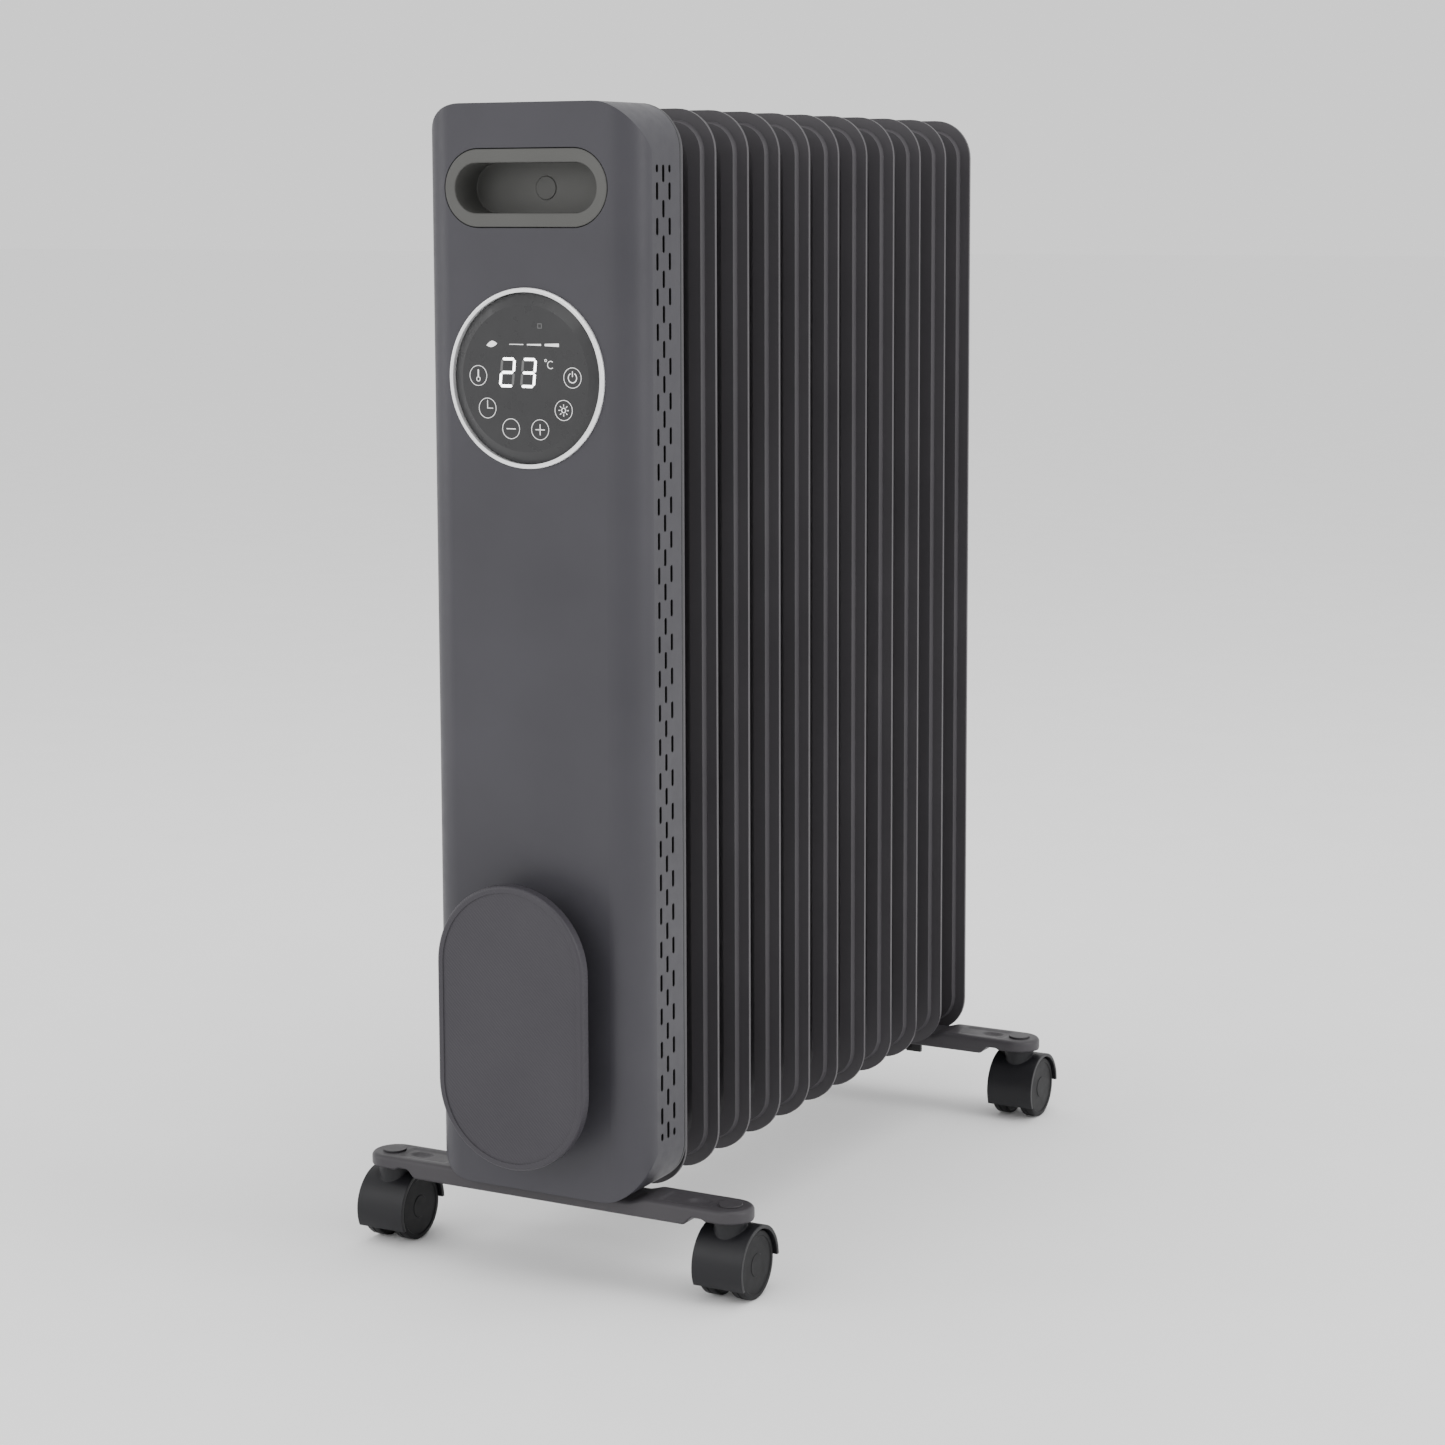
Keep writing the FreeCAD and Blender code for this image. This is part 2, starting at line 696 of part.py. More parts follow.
def make_harness():
    """A lead from under the power board to each element terminal: straight down, then round a bend."""
    leads = []
    end = (FLANGE_FRONT - D.terminal_length).value
    low = HEADER_Z["bottom"].value
    bend = D.lead_bend.value
    half_way = bend * math.sin(math.pi / 4)
    for sign in (-1, 1):
        x = sign * D.tube_out.value
        turn = Part.Arc(Vector(x, end, low), Vector(x, end - half_way, low + bend - half_way),
                        Vector(x, end - bend, low + bend))
        rise = Part.LineSegment(Vector(x, end - bend, low + bend), Vector(x, end - bend, D.board_bottom.value - 2))
        path = Part.Wire([turn.toShape(), rise.toShape()])
        section = Part.Wire([Part.Circle(Vector(x, end, low), Vector(0, 1, 0), D.lead_radius.value).toShape()])
        leads.append(path.makePipeShell([section], True, False))
    harness = doc.addObject("Part::Feature", "harness")
    harness.Shape = Part.makeCompound(leads)
    keep(harness, "wiring_harness")


# ---- cord storage -------------------------------------------------------------------------------

def make_cord_storage():
    """A plate on a hub, round which the cord winds."""
    blank = stadium("plate_blank", D.plate_width, D.plate_height, D.plate_depth, PLATE_FRONT, D.plate_centre)
    softened = rounded("plate_softened", blank, PLATE_ROUND,
                       lambda edge, middle: middle.y < PLATE_FRONT.value + 0.1)
    inlay = stadium("plate_inlay", D.plate_width - 2 * D.plate_rim, D.plate_height - 2 * D.plate_rim,
                    5 + D.plate_inlay, PLATE_FRONT - 5, D.plate_centre)
    keep(cut("plate", softened, inlay), "cord_plate")

    hub_front = PLATE_FRONT + D.plate_depth
    hub_depth = D.plate_standoff - D.plate_depth
    outside = stadium("hub_outside", D.hub_width, D.hub_height, hub_depth, hub_front, D.plate_centre)
    inside = stadium("hub_inside", D.hub_width - 2 * D.hub_wall, D.hub_height - 2 * D.hub_wall,
                     hub_depth - D.hub_wall, hub_front, D.plate_centre)
    screws = []
    shanks = []
    for side, sign in (("low", -1), ("high", 1)):
        height = D.plate_centre + sign * D.hub_screw_out
        head = cylinder("hub_screw_head_" + side, 3.4, 2, "y", 0, FRONT + D.wall, height)
        shank = cylinder("hub_screw_shank_" + side, D.screw_radius, D.wall + D.hub_wall, "y", 0,
                         FRONT - D.hub_wall, height)
        screws.append(fuse("hub_screw_" + side, [head, shank]))
        shanks.append(shank)
    shell = cut("hub_shell", outside, inside)
    keep(cut("hub", shell, fuse("hub_drillings", shanks)), "cord_hub")
    keep(group("hub_fixings", screws), "hub_screws")


def make_gland():
    """A flanged bush through the housing's front wall, below the hub."""
    collar = cylinder("gland_collar", D.gland_radius + 2, 3, "y", 0, FRONT - 3, GLAND_Z)
    barrel = cylinder("gland_barrel", D.gland_radius, 12, "y", 0, FRONT - 3, GLAND_Z)
    bore = drilling("gland_through", D.gland_bore, "y", 0, FRONT, GLAND_Z)
    keep(cut("gland", fuse("gland_solid", [collar, barrel]), bore), "cord_gland")


# ---- feet ---------------------------------------------------------------------------------------

def bar_profile():
    """The bar's side view, right half from the boss inwards: top, then underside."""
    top = [
        (D.bar_length / 2, D.boss_underside),
        (D.bar_length / 2, D.bar_top),
        (D.bar_seat_half, D.bar_top),
        (D.bar_seat_half, D.bar_seat),
    ]
    under = [
        (D.arch_start, D.bar_underside),
        (D.arch_start + 6, D.arch_underside),
        (D.arch_end, D.arch_underside),
        (D.arch_end + 3, D.boss_underside),
    ]
    top = [(x.value, z.value) for x, z in top]
    under = [(x.value, z.value) for x, z in under]
    return top + [(-x, z) for x, z in reversed(top)] + [(-x, z) for x, z in reversed(under)] + under


def make_bar_blank(end):
    """A moulded bar across the heater, thick in the middle and arched before each caster boss."""
    side_view = new_body("bar_side_" + end)
    sketch = new_sketch(side_view, "XZ_Plane")
    points = [Vector(x, z, 0) for x, z in bar_profile()]
    for start, stop in zip(points, points[1:] + points[:1]):
        sketch.addGeometry(Part.LineSegment(start, stop), False)
    extrude("Pad", side_view, sketch, D.bar_width)
    place(side_view, 0, BAR_Y[end], 0)
    plan = new_body("bar_plan_" + end)
    sketch = new_sketch(plan, "XY_Plane")
    rounded_rectangle(sketch, D.bar_length, D.bar_width, D.bar_width / 2 - 0.01)
    extrude("Pad", plan, sketch, 100, both_ways=False)
    place(plan, 0, BAR_Y[end], 0)
    blank = common("bar_blank_" + end, [side_view, plan])

    def on_top_rim(edge, middle):
        first, last = edge.Vertexes[0].Point, edge.Vertexes[-1].Point
        across = abs(first.x - last.x) < 0.01 and abs(first.y - last.y) > 1
        return abs(middle.z - D.bar_top.value) < 0.01 and not across

    return rounded("bar_softened_" + end, blank, BAR_ROUND, on_top_rim)


def stem_sockets(end):
    sockets = []
    for side, sign in (("left", -1), ("right", 1)):
        sockets.append(cylinder("socket_%s_%s" % (end, side), D.stem_radius + 0.05, 30, "z", sign * D.stem_out,
                                BAR_Y[end], D.bar_top - 31))
    return sockets


def make_front_bar():
    """The front bar, screwed up into the housing's floor."""
    screws = []
    holes = []
    for side, sign in (("left", -1), ("right", 1)):
        x = sign * 38.0
        head = cylinder("bar_screw_head_" + side, 4, 2.6, "z", x, BAR_Y["front"], D.bar_underside - 2.6)
        shank = cylinder("bar_screw_shank_" + side, 2, 18, "z", x, BAR_Y["front"], D.bar_underside)
        screws.append(fuse("bar_screw_" + side, [head, shank]))
        holes.append(drilling("bar_screw_hole_" + side, 2, "z", x, BAR_Y["front"], D.bar_top))
    cuts = fuse("bar_cut_front", stem_sockets("front") + holes)
    keep(cut("bar_front", make_bar_blank("front"), cuts), "foot_bar_front")
    keep(group("bar_screws", screws), "front_bar_screws")


def make_rear_bar():
    """The rear bar, hung by a U-bolt from the last header collar, which rests in its saddle."""
    middle = BAR_Y["rear"]
    height = HEADER_Z["bottom"]
    saddle = box("saddle", D.saddle_width, D.saddle_depth, height - 8 - D.bar_seat + 2, 0,
                 middle - D.saddle_depth / 2, D.bar_seat - 2)
    cuts = stem_sockets("rear")
    cuts.append(drilling("saddle_cradle", D.collar_radius + 0.05, "y", 0, middle, height))
    legs = []
    nuts = []
    for side, sign in (("left", -1), ("right", 1)):
        x = sign * D.u_bolt_out
        legs.append(cylinder("u_bolt_leg_" + side, D.u_bolt_radius, height - D.u_bolt_low, "z", x, middle,
                             D.u_bolt_low))
        cuts.append(drilling("bar_leg_hole_" + side, D.u_bolt_radius + 0.3, "z", x, middle, D.bar_underside))
        base = D.bar_underside - 6
        barrel = cylinder("nut_barrel_" + side, 5.5, 6, "z", x, middle, base)
        wings = box("nut_wings_" + side, 24, 2.4, 5.5, x, middle - 1.2, base - 2)
        thread = drilling("nut_thread_" + side, D.u_bolt_radius, "z", x, middle, base)
        nuts.append(cut("wing_nut_" + side, fuse("nut_body_" + side, [barrel, wings]), thread))
    bow = half_ring("u_bolt_bow", D.u_bolt_out, D.u_bolt_radius, Rotation(Vector(1, 0, 0), 90), 0, middle, height)
    solid = fuse("bar_with_saddle", [make_bar_blank("rear"), saddle])
    keep(cut("bar_rear", solid, fuse("bar_cut_rear", cuts)), "foot_bar_rear")
    keep(fuse("bolt", legs + [bow]), "u_bolt")
    keep(group("nuts", nuts), "wing_nuts")


def make_stem_caps():
    """Low discs over the four caster sockets."""
    caps = []
    for end, middle in BAR_Y.items():
        for side, sign in (("left", -1), ("right", 1)):
            caps.append(cylinder("cap_%s_%s" % (end, side), D.cap_radius, 1, "z", sign * D.stem_out, middle,
                                 D.bar_top))
    keep(group("caps", caps), "stem_caps")


# ---- casters ------------------------------------------------------------------------------------

def make_caster(end, side, sign):
    """One twin-wheel caster: hood with neck, steel stem and axle, and two free-turning wheels."""
    node = "caster_%s_%s" % (end, side)
    x = sign * D.stem_out
    stem_y = BAR_Y[end]
    axle_y = stem_y + D.trail

    def disc(name, radius, low, high):
        return cylinder(node + name, radius, high - low, "x", x + low, axle_y, D.wheel_radius)

    crown = disc("_crown", D.hood_radius, -D.hood_half, D.hood_half)
    neck_foot = D.wheel_radius + 12
    neck = cylinder(node + "_neck", D.neck_radius, D.boss_underside - D.neck_gap - neck_foot, "z", x, stem_y,
                    neck_foot)
    away = [
        disc("_well_left", D.hood_inside, -D.hood_half - 1, -D.hood_web),
        disc("_well_right", D.hood_inside, D.hood_web, D.hood_half + 1),
        box(node + "_low_front", 60, 50, 40, x, axle_y - 50, D.hood_low - 40),
        box(node + "_low_back", 60, 50, 60, x, axle_y, D.hood_lip - 60),
    ]
    trimmed = cut(node + "_trimmed", fuse(node + "_blank", [crown, neck]), fuse(node + "_away", away))
    hub = disc("_hub", D.hood_hub, -D.hood_web, D.hood_web)
    holes = [
        drilling(node + "_axle_hole", D.axle_radius, "x", x, axle_y, D.wheel_radius),
        cylinder(node + "_stem_hole", D.stem_radius, 60, "z", x, stem_y, D.stem_foot),
    ]
    solid = fuse(node + "_solid", [trimmed, hub])
    keep(cut(node + "_hood_body", solid, fuse(node + "_holes", holes)), node + "_hood")

    axle = disc("_axle", D.axle_radius, -D.axle_half, D.axle_half)
    stem = cylinder(node + "_stem", D.stem_radius, D.bar_top - 1.4 - D.stem_foot, "z", x, stem_y, D.stem_foot)
    keep(group(node + "_pin_pair", [axle, stem]), node + "_pins")

    for label, outward in (("left", -1), ("right", 1)):
        middle = outward * D.wheel_middle
        tyre = disc("_tyre_" + label, D.wheel_radius, middle - D.wheel_width / 2, middle + D.wheel_width / 2)
        softened = rounded(node + "_softened_" + label, tyre, WHEEL_ROUND,
                           lambda edge, point: edge.Length > 80)
        depth = D.axle_half + 0.2
        bore = disc("_bore_" + label, D.wheel_bore, depth * min(outward, 0), depth * max(outward, 0))
        keep(cut(node + "_turned_" + label, softened, bore), "%s_wheel_%s" % (node, label))


for fin_index in range(FIN_COUNT):
    make_fin(fin_index)
for header_side in HEADER_Z:
    make_header_collars(header_side)
make_rear_caps()
make_element()
make_front_cover()
make_rear_panel()
make_grip()
make_display()
make_electrics()
make_harness()
make_cord_storage()
make_gland()
make_front_bar()
make_rear_bar()
make_stem_caps()
for bar_end in BAR_Y:
    make_caster(bar_end, "left", -1)
    make_caster(bar_end, "right", 1)
doc.recompute()

# ---- check everything, then write one file for each sub-part ------------------------------------

for item in doc.Objects:
    if "Invalid" in item.State or "Error" in item.State:
        raise RuntimeError("%s failed to build: %s" % (item.Name, item.State))
for item in SUBPARTS:
    if item.Shape.isNull() or not item.Shape.isValid() or not item.Shape.Solids:
        raise RuntimeError("%s has no valid shape" % item.Label)

os.makedirs("parts", exist_ok=True)
for item in SUBPARTS:
    item.Shape.exportStep("parts/%s.step" % item.Label)
    print("%-28s %10.1f mm3, %d solids" % (item.Label, item.Shape.Volume, len(item.Shape.Solids)))
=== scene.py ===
import json
import math
import bpy
from mathutils import Matrix, Vector


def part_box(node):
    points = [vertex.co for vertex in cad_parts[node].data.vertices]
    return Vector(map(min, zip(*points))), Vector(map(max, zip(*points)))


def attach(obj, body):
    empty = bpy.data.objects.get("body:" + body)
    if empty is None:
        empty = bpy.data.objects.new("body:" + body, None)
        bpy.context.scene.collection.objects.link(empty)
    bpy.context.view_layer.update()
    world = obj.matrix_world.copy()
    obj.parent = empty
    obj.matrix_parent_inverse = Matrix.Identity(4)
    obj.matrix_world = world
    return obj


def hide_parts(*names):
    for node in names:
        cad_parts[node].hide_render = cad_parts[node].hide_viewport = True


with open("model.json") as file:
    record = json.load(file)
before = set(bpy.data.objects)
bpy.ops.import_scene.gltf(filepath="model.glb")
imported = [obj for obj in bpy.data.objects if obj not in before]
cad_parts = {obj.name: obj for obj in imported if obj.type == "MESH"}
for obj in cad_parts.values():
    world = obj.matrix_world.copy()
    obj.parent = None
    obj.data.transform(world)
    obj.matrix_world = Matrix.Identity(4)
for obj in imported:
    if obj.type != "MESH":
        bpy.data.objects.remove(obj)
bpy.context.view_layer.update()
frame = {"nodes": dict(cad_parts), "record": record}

MM = 0.001
CORNERS = [(end, side) for end in ("front", "rear") for side in ("left", "right")]


# ---- mesh helpers -------------------------------------------------------------------------------

def new_mesh(name, points, faces, smooth_angle=None):
    """A mesh object from points in metres in the row frame and faces as index lists."""
    mesh = bpy.data.meshes.new(name)
    mesh.from_pydata([tuple(p) for p in points], [], faces)
    mesh.validate()
    mesh.update()
    obj = bpy.data.objects.new(name, mesh)
    bpy.context.scene.collection.objects.link(obj)
    if smooth_angle is not None:
        for polygon in mesh.polygons:
            polygon.use_smooth = True
        mesh.set_sharp_from_angle(angle=math.radians(smooth_angle))
    return obj


def lathe(name, profile, centre, steps=96, smooth_angle=32):
    """A closed solid turned about the X axis through centre; profile is (x, radius) from axis to axis."""
    points, faces, rings = [], [], []
    for x, radius in profile:
        if radius == 0:
            rings.append([len(points)])
            points.append(Vector((x, 0, 0)) + centre)
            continue
        ring = []
        for step in range(steps):
            angle = 2 * math.pi * step / steps
            ring.append(len(points))
            points.append(Vector((x, radius * math.cos(angle), radius * math.sin(angle))) + centre)
        rings.append(ring)
    for low, high in zip(rings, rings[1:]):
        for step in range(steps):
            following = (step + 1) % steps
            if len(low) == 1:
                faces.append([low[0], high[following], high[step]])
            elif len(high) == 1:
                faces.append([low[step], low[following], high[0]])
            else:
                faces.append([low[step], low[following], high[following], high[step]])
    return new_mesh(name, points, faces, smooth_angle)


class Relief:
    """Thin raised signs on an upright face that looks along -Y; flat points are (x, z) in millimetres."""

    def __init__(self, face_y, centre_x, centre_z, thick):
        self.face_y, self.centre_x, self.centre_z, self.thick = face_y, centre_x, centre_z, thick
        self.points, self.faces = [], []

    def prism(self, outline, hole=None):
        """A closed prism over an anticlockwise outline; hole is an inner loop of as many points."""
        loops = [outline] if hole is None else [outline, hole]
        start, count = len(self.points), len(outline)
        for loop in loops:
            for depth in (0.0, self.thick):
                for x, z in loop:
                    self.points.append((self.centre_x + x * MM, self.face_y - depth, self.centre_z + z * MM))
        back, front = start, start + count
        if hole is None:
            self.faces.append([front + i for i in range(count)])
            self.faces.append([back + i for i in reversed(range(count))])
        inner_back, inner_front = start + 2 * count, start + 3 * count
        for i in range(count):
            j = (i + 1) % count
            self.faces.append([back + i, back + j, front + j, front + i])
            if hole is not None:
                self.faces.append([inner_back + j, inner_back + i, inner_front + i, inner_front + j])
                self.faces.append([front + i, front + j, inner_front + j, inner_front + i])
                self.faces.append([back + j, back + i, inner_back + i, inner_back + j])

    def band(self, x, z, radius, width, turns):
        """The outer and the inner loop of a round band, with a point at each angle."""
        loops = []
        for r in (radius + width / 2, radius - width / 2):
            loops.append([(x + r * math.cos(a), z + r * math.sin(a)) for a in turns])
        return loops

    def ring(self, x, z, radius, width, steps=48):
        outer, inner = self.band(x, z, radius, width, [2 * math.pi * i / steps for i in range(steps)])
        self.prism(outer, inner)

    def disc(self, x, z, radius, steps=32):
        turns = [2 * math.pi * i / steps for i in range(steps)]
        self.prism([(x + radius * math.cos(a), z + radius * math.sin(a)) for a in turns])

    def line(self, start, end, width):
        along = Vector((end[0] - start[0], end[1] - start[1])).normalized()
        side = Vector((-along.y, along.x)) * width / 2
        a, b = Vector(start), Vector(end)
        self.prism([tuple(a - side), tuple(b - side), tuple(b + side), tuple(a + side)])

    def arc(self, x, z, radius, width, first, last, steps=28):
        turns = [math.radians(first + (last - first) * i / steps) for i in range(steps + 1)]
        outer, inner = self.band(x, z, radius, width, turns)
        self.prism(outer + inner[::-1])

    def build(self, name):
        return new_mesh(name, self.points, self.faces)


# ---- materials ----------------------------------------------------------------------------------

def srgb(*levels):
    """Linear colour from display levels of 0 to 255."""
    out = []
    for level in levels:
        v = level / 255
        out.append(v / 12.92 if v <= 0.04045 else ((v + 0.055) / 1.055) ** 2.4)
    return (*out, 1.0)


class Material:
    """A node material over the object's coordinates: varied colour and roughness, and a fine bump."""

    def __init__(self, name, dark, light, roughness, metallic=0.0, coat=0.0, edge=0.0, specular=0.3):
        self.material = bpy.data.materials.new(name)
        self.material.use_nodes = True
        self.tree = self.material.node_tree
        self.shader = self.tree.nodes["Principled BSDF"]
        self.coordinates = self.add("ShaderNodeTexCoord").outputs["Object"]
        self.shader.inputs["Metallic"].default_value = metallic
        self.shader.inputs["Specular IOR Level"].default_value = specular
        self.shader.inputs["Coat Weight"].default_value = coat
        self.shader.inputs["Coat Roughness"].default_value = 0.08
        broad = self.noise(14, 4)
        ramp = self.add("ShaderNodeValToRGB")
        ramp.color_ramp.elements[0].position, ramp.color_ramp.elements[1].position = 0.3, 0.7
        ramp.color_ramp.elements[0].color, ramp.color_ramp.elements[1].color = dark, light
        self.link(broad, ramp.inputs["Fac"])
        self.colour = ramp.outputs["Color"]
        self.link(self.colour, self.shader.inputs["Base Color"])
        self.link(self.scaled(self.noise(160, 3), roughness - 0.04, roughness + 0.04),
                  self.shader.inputs["Roughness"])
        self.normal = None
        if edge:
            bevel = self.add("ShaderNodeBevel")
            bevel.samples = 6
            bevel.inputs["Radius"].default_value = edge * MM
            self.normal = bevel.outputs["Normal"]
            self.link(self.normal, self.shader.inputs["Normal"])

    def add(self, kind):
        return self.tree.nodes.new(kind)

    def link(self, output, target):
        self.tree.links.new(output, target)

    def noise(self, scale, detail):
        node = self.add("ShaderNodeTexNoise")
        node.inputs["Scale"].default_value = scale
        node.inputs["Detail"].default_value = detail
        self.link(self.coordinates, node.inputs["Vector"])
        return node.outputs["Fac"]

    def scaled(self, output, low, high):
        node = self.add("ShaderNodeMapRange")
        node.inputs["From Min"].default_value, node.inputs["From Max"].default_value = 0.3, 0.7
        node.inputs["To Min"].default_value, node.inputs["To Max"].default_value = low, high
        self.link(output, node.inputs["Value"])
        return node.outputs["Result"]

    def bump(self, height, strength, distance):
        """Adds a bump of that height output on top of what the normal already holds."""
        node = self.add("ShaderNodeBump")
        node.inputs["Strength"].default_value = strength
        node.inputs["Distance"].default_value = distance
        self.link(height, node.inputs["Height"])
        if self.normal is not None:
            self.link(self.normal, node.inputs["Normal"])
        self.normal = node.outputs["Normal"]
        self.link(self.normal, self.shader.inputs["Normal"])
        return self

    def grain(self, scale, strength, distance=0.0002):
        return self.bump(self.noise(scale, 3), strength, distance)


def weave(material, scale, strength, turn):
    """Fine straight ribs across the XZ plane, turned about Y."""
    mapping = material.add("ShaderNodeMapping")
    mapping.inputs["Rotation"].default_value = (0, math.radians(turn), 0)
    material.link(material.coordinates, mapping.inputs["Vector"])
    wave = material.add("ShaderNodeTexWave")
    wave.bands_direction = "X"
    wave.inputs["Scale"].default_value = scale
    material.link(mapping.outputs["Vector"], wave.inputs["Vector"])
    return material.bump(wave.outputs["Fac"], strength, 0.0002)


housing = Material("housing_satin", srgb(55, 54, 59), srgb(60, 59, 64), 0.42, edge=0.8).grain(1900, 0.10)
panel = Material("panel_enamel", srgb(48, 48, 51), srgb(53, 53, 56), 0.38, edge=0.5).grain(700, 0.08)
fins = Material("fin_enamel", srgb(66, 64, 67), srgb(72, 70, 73), 0.46, specular=0.35).grain(420, 0.04)
grip = Material("grip_satin", srgb(74, 74, 72), srgb(80, 80, 78), 0.48, edge=1.4).grain(1500, 0.12)
button = Material("button_satin", srgb(73, 73, 71), srgb(79, 79, 77), 0.46).grain(1500, 0.08)
# Partly painted reflection: the chrome ring is half metal, which really reflects, and half a near-white
# diffuse colour that stands in for the white surroundings it mirrors.
ring = Material("ring_half_painted_reflection", srgb(246, 246, 247), srgb(250, 250, 251), 0.22, metallic=0.5).grain(600, 0.03)
lens = Material("lens_smoked", srgb(50, 50, 51), srgb(54, 54, 55), 0.3, coat=0.12, specular=0.24)
lens.grain(60, 0.004)
plate = weave(Material("cord_plate_ribbed", srgb(51, 49, 54), srgb(56, 54, 59), 0.46, edge=0.5), 210, 0.3, 45)
hub = Material("hub_satin", srgb(34, 34, 37), srgb(39, 39, 42), 0.5, edge=0.6).grain(1500, 0.10)
foot = Material("foot_satin", srgb(56, 54, 57), srgb(62, 60, 63), 0.45, edge=0.8).grain(1500, 0.12)
caster = Material("caster_black", srgb(20, 20, 23), srgb(25, 25, 28), 0.42, edge=0.8).grain(1700, 0.12)
wheel = Material("wheel_black", srgb(14, 14, 16), srgb(18, 18, 20), 0.5, specular=0.2).grain(1300, 0.14)
zinc = Material("zinc_steel", srgb(176, 178, 182), srgb(196, 198, 202), 0.3, metallic=1.0).grain(900, 0.08)
rubber = Material("rubber_black", srgb(22, 22, 23), srgb(28, 28, 29), 0.7).grain(1200, 0.2)
board = Material("board_green", srgb(22, 70, 42), srgb(28, 82, 50), 0.35, coat=0.3).grain(800, 0.1)
dark = Material("component_black", srgb(28, 28, 29), srgb(34, 34, 35), 0.5).grain(1200, 0.12)
floor_paint = Material("floor_pale", srgb(250, 250, 250), srgb(252, 252, 252), 0.8, specular=0.1)
floor_paint.grain(40, 0.01)


def paint_shade_inside(material, half_width, front, low, high):
    """Paints shade into the colour of what lies inside the housing's walls: near-black painted shade, so that
    its vents look into the dark.
    """
    split = material.add("ShaderNodeSeparateXYZ")
    material.link(material.coordinates, split.inputs["Vector"])
    across = material.add("ShaderNodeMath")
    across.operation = "ABSOLUTE"
    material.link(split.outputs["X"], across.inputs[0])
    inside = None
    for output, operation, limit in ((across.outputs[0], "LESS_THAN", half_width),
                                     (split.outputs["Y"], "GREATER_THAN", front),
                                     (split.outputs["Z"], "GREATER_THAN", low),
                                     (split.outputs["Z"], "LESS_THAN", high)):
        test = material.add("ShaderNodeMath")
        test.operation = operation
        test.inputs[1].default_value = limit
        material.link(output, test.inputs[0])
        if inside is None:
            inside = test.outputs[0]
            continue
        both = material.add("ShaderNodeMath")
        both.operation = "MULTIPLY"
        material.link(inside, both.inputs[0])
        material.link(test.outputs[0], both.inputs[1])
        inside = both.outputs[0]
    # Painted shade: near-black colour in place of the shade inside the housing.
    mix = material.add("ShaderNodeMix")
    mix.data_type = "RGBA"
    mix.inputs["B"].default_value = srgb(6, 6, 7)
    material.link(inside, mix.inputs["Factor"])
    material.link(material.colour, mix.inputs["A"])
    material.link(mix.outputs["Result"], material.shader.inputs["Base Color"])


# The painted shade inside the housing stops short of its outer skin, its front and its ends.
OUTER_SKIN = 0.05 * MM
FRONT_KEPT_LIGHT = 19 * MM
ENDS_KEPT_LIGHT = 26 * MM
cover_low, cover_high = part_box("front_cover")
paint_shade_inside(housing, cover_high[0] - OUTER_SKIN, cover_low[1] + FRONT_KEPT_LIGHT,
              cover_low[2] + ENDS_KEPT_LIGHT, cover_high[2] - ENDS_KEPT_LIGHT)


def glowing(name, level, strength):
    """Pale colour that gives its own light, a little uneven: a lit sign, or a faint painted glow on parts
    that give no light.
    """
    made = Material(name, srgb(level, level, level), srgb(level + 6, level + 6, level + 6), 0.5)
    made.link(made.colour, made.shader.inputs["Emission Color"])
    made.shader.inputs["Emission Strength"].default_value = strength
    return made


digit_light = glowing("digit_light", 246, 5.0)
sign_light = glowing("sign_light", 215, 0.9)
# Painted light: the unlit segments and the receiver window give no light of their own, so this faint glow is
# painted on.
faint_painted_glow = glowing("faint_painted_glow", 96, 0.03)

FINISHES = {
    "fin_paint": fins, "housing_plastic": housing, "panel_paint": panel, "cord_plate_plastic": plate,
    "grip_plastic": grip, "ring_chrome": ring, "lens_plastic": lens, "foot_plastic": foot,
    "caster_plastic": caster, "board": board, "component_plastic": dark, "rubber": rubber, "steel": zinc,
}
SPECIAL = {"cord_hub": hub, "power_button": button, "u_bolt": dark, "wing_nuts": dark}


def paint(obj, finish):
    obj.data.materials.clear()
    obj.data.materials.append(finish.material)


def add_piece(obj, finish, body):
    """Paints a new piece and fixes it to its body."""
    paint(obj, finish)
    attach(obj, body)
    return obj


for entry in frame["record"]["subparts"]:
    node = entry["node"]
    paint(frame["nodes"][node], SPECIAL.get(node, FINISHES[entry["material_slot"]]))


# ---- wheels, with a tread groove and a dished outer face ---------------------------------------

AXLE_BORE_RADIUS = 2.05
BORE_FLOOR = 1.0


def turned_profile(width, radius, outward):
    """Half section of a wheel: the blind bore, the inner face, the tread and the outer face."""
    half = width / 2
    profile = [
        (half - BORE_FLOOR, 0), (half - BORE_FLOOR, AXLE_BORE_RADIUS), (-half, AXLE_BORE_RADIUS),
        (-half, radius - 4.5), (-half + 0.4, radius - 4.0), (-half + 0.4, radius - 2.2),
        (-half, radius - 1.8), (-half, radius - 0.9), (-half + 0.3, radius - 0.3), (-half + 0.9, radius),
        (-0.5, radius), (-0.3, radius - 0.35), (0.3, radius - 0.35), (0.5, radius),
        (half - 0.9, radius), (half - 0.3, radius - 0.3), (half, radius - 0.9),
        (half, radius - 2.6), (half - 0.5, radius - 3.1), (half - 0.5, 6.4),
        (half - 0.2, 6.1), (half - 0.2, 0),
    ]
    if outward > 0:
        return [(x * MM, r * MM) for x, r in profile]
    return [(-x * MM, r * MM) for x, r in profile]


for end, side in CORNERS:
    for label, outward in (("left", -1), ("right", 1)):
        node = "caster_%s_%s_wheel_%s" % (end, side, label)
        low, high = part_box(node)
        low, high = Vector(low), Vector(high)
        size = (high - low) / MM
        turned = lathe(node + "_turned", turned_profile(size.x, size.z / 2, outward), (low + high) / 2)
        if outward < 0:
            turned.data.flip_normals()
        add_piece(turned, wheel, node)
        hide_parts(node)


# ---- foot bars, with a shallow channel and an oval dimple beside each cap ----------------------

